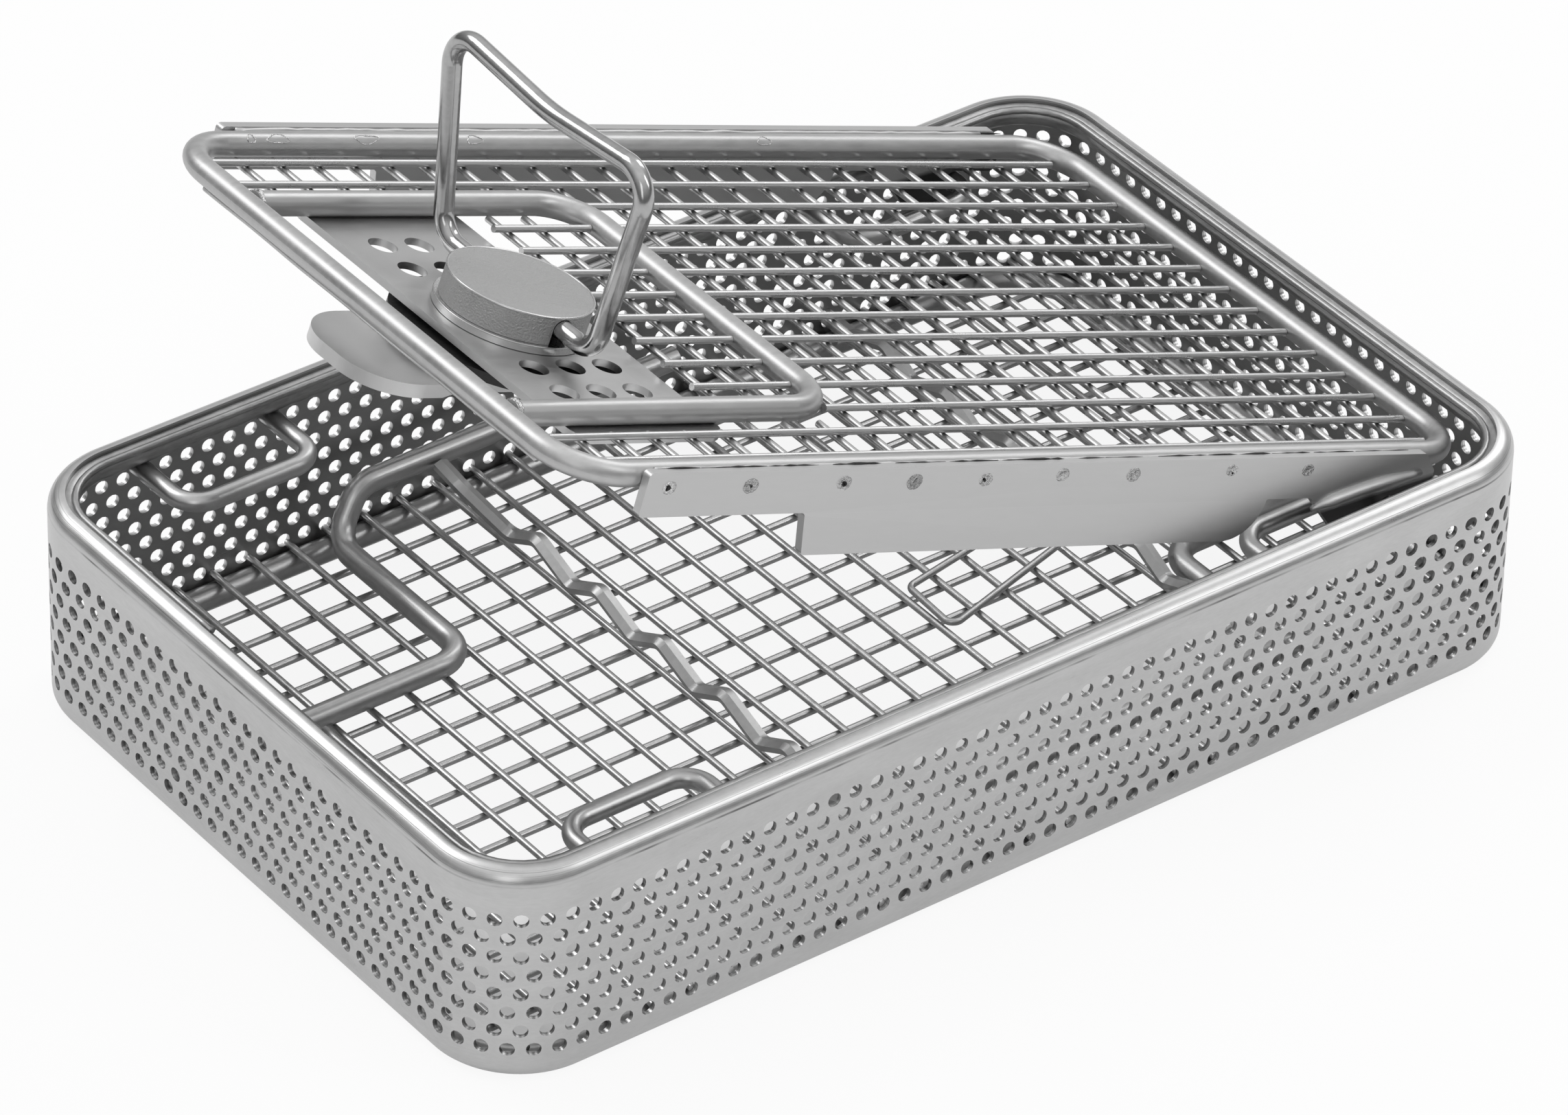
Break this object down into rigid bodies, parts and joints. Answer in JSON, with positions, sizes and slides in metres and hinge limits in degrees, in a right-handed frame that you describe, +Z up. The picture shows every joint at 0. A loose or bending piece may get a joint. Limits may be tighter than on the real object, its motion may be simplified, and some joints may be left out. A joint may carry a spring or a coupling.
{
  "type": "instrument cassette",
  "caption": "Perforated steel tray with a wire mesh floor and a hinged mesh lid, held by a turn latch with a folding bail handle.",
  "frame": {"origin": "centre of the tray's foot, on the surface it stands on", "axes": "+X towards the hinge end, +Y across the tray, +Z up; the lid stands partly open"},
  "size_m": [0.255, 0.164, 0.1551],
  "materials": {
    "perforated_sheet": "satin stainless sheet, rolled bright at the rim",
    "bright_rod": "electropolished stainless rod",
    "mesh_wire": "electropolished wire with dark weld spots",
    "side_plate": "satin stainless sheet with weld dimples",
    "knurled_rail": "rolled wire with pressed flanks",
    "latch_plate": "satin stainless sheet",
    "knob": "fine matt",
    "knob_washer": "polished",
    "dark_disc": "dark, dull",
    "latch_tongue": "satin",
    "latch_pin": "satin",
    "bail_rod": "electropolished"
  },
  "bodies": {
    "tray": {"tray_wall": "perforated_sheet", "rim_rod": "bright_rod", "floor_frame_rod": "bright_rod", "floor_cross_wires": "mesh_wire", "floor_long_wires": "mesh_wire", "latch_loop_front": "bright_rod", "latch_loop_back": "bright_rod", "hinge_loop_front": "bright_rod", "hinge_loop_back": "bright_rod", "rest_rod_left": "bright_rod", "rest_rod_right": "bright_rod", "wave_rail_left": "knurled_rail", "wave_rail_right": "knurled_rail", "wire_clip": "mesh_wire"},
    "lid": {"lid_frame_rod": "bright_rod", "lid_inner_rod": "bright_rod", "lid_long_wires": "mesh_wire", "lid_cross_wires": "mesh_wire", "hinge_plate_front": "side_plate", "hinge_plate_back": "side_plate", "latch_plate": "latch_plate"},
    "latch": {"latch_knob": "knob", "knob_washer": "knob_washer", "slide_disc": "dark_disc", "latch_pivot": "latch_pin", "latch_tongue": "latch_tongue"},
    "handle": {"bail_handle": "bail_rod"}
  },
  "joints": [
    {"name": "lid_hinge", "type": "hinge", "parent": "tray", "child": "lid", "pos_m": [0.094, 0, 0.0407], "axis": [0, 1, 0], "range_deg": [-20.84, 55]},
    {"name": "latch_turn", "type": "hinge", "parent": "lid", "child": "latch", "pos_m": [-0.0665, 0, 0.10843], "axis": [0.3558, 0, 0.9346], "range_deg": [0, 90]},
    {"name": "bail_fold", "type": "hinge", "parent": "latch", "child": "handle", "pos_m": [-0.06473, 0, 0.1131], "axis": [0, 1, 0], "range_deg": [-72, 92]}
  ]
}
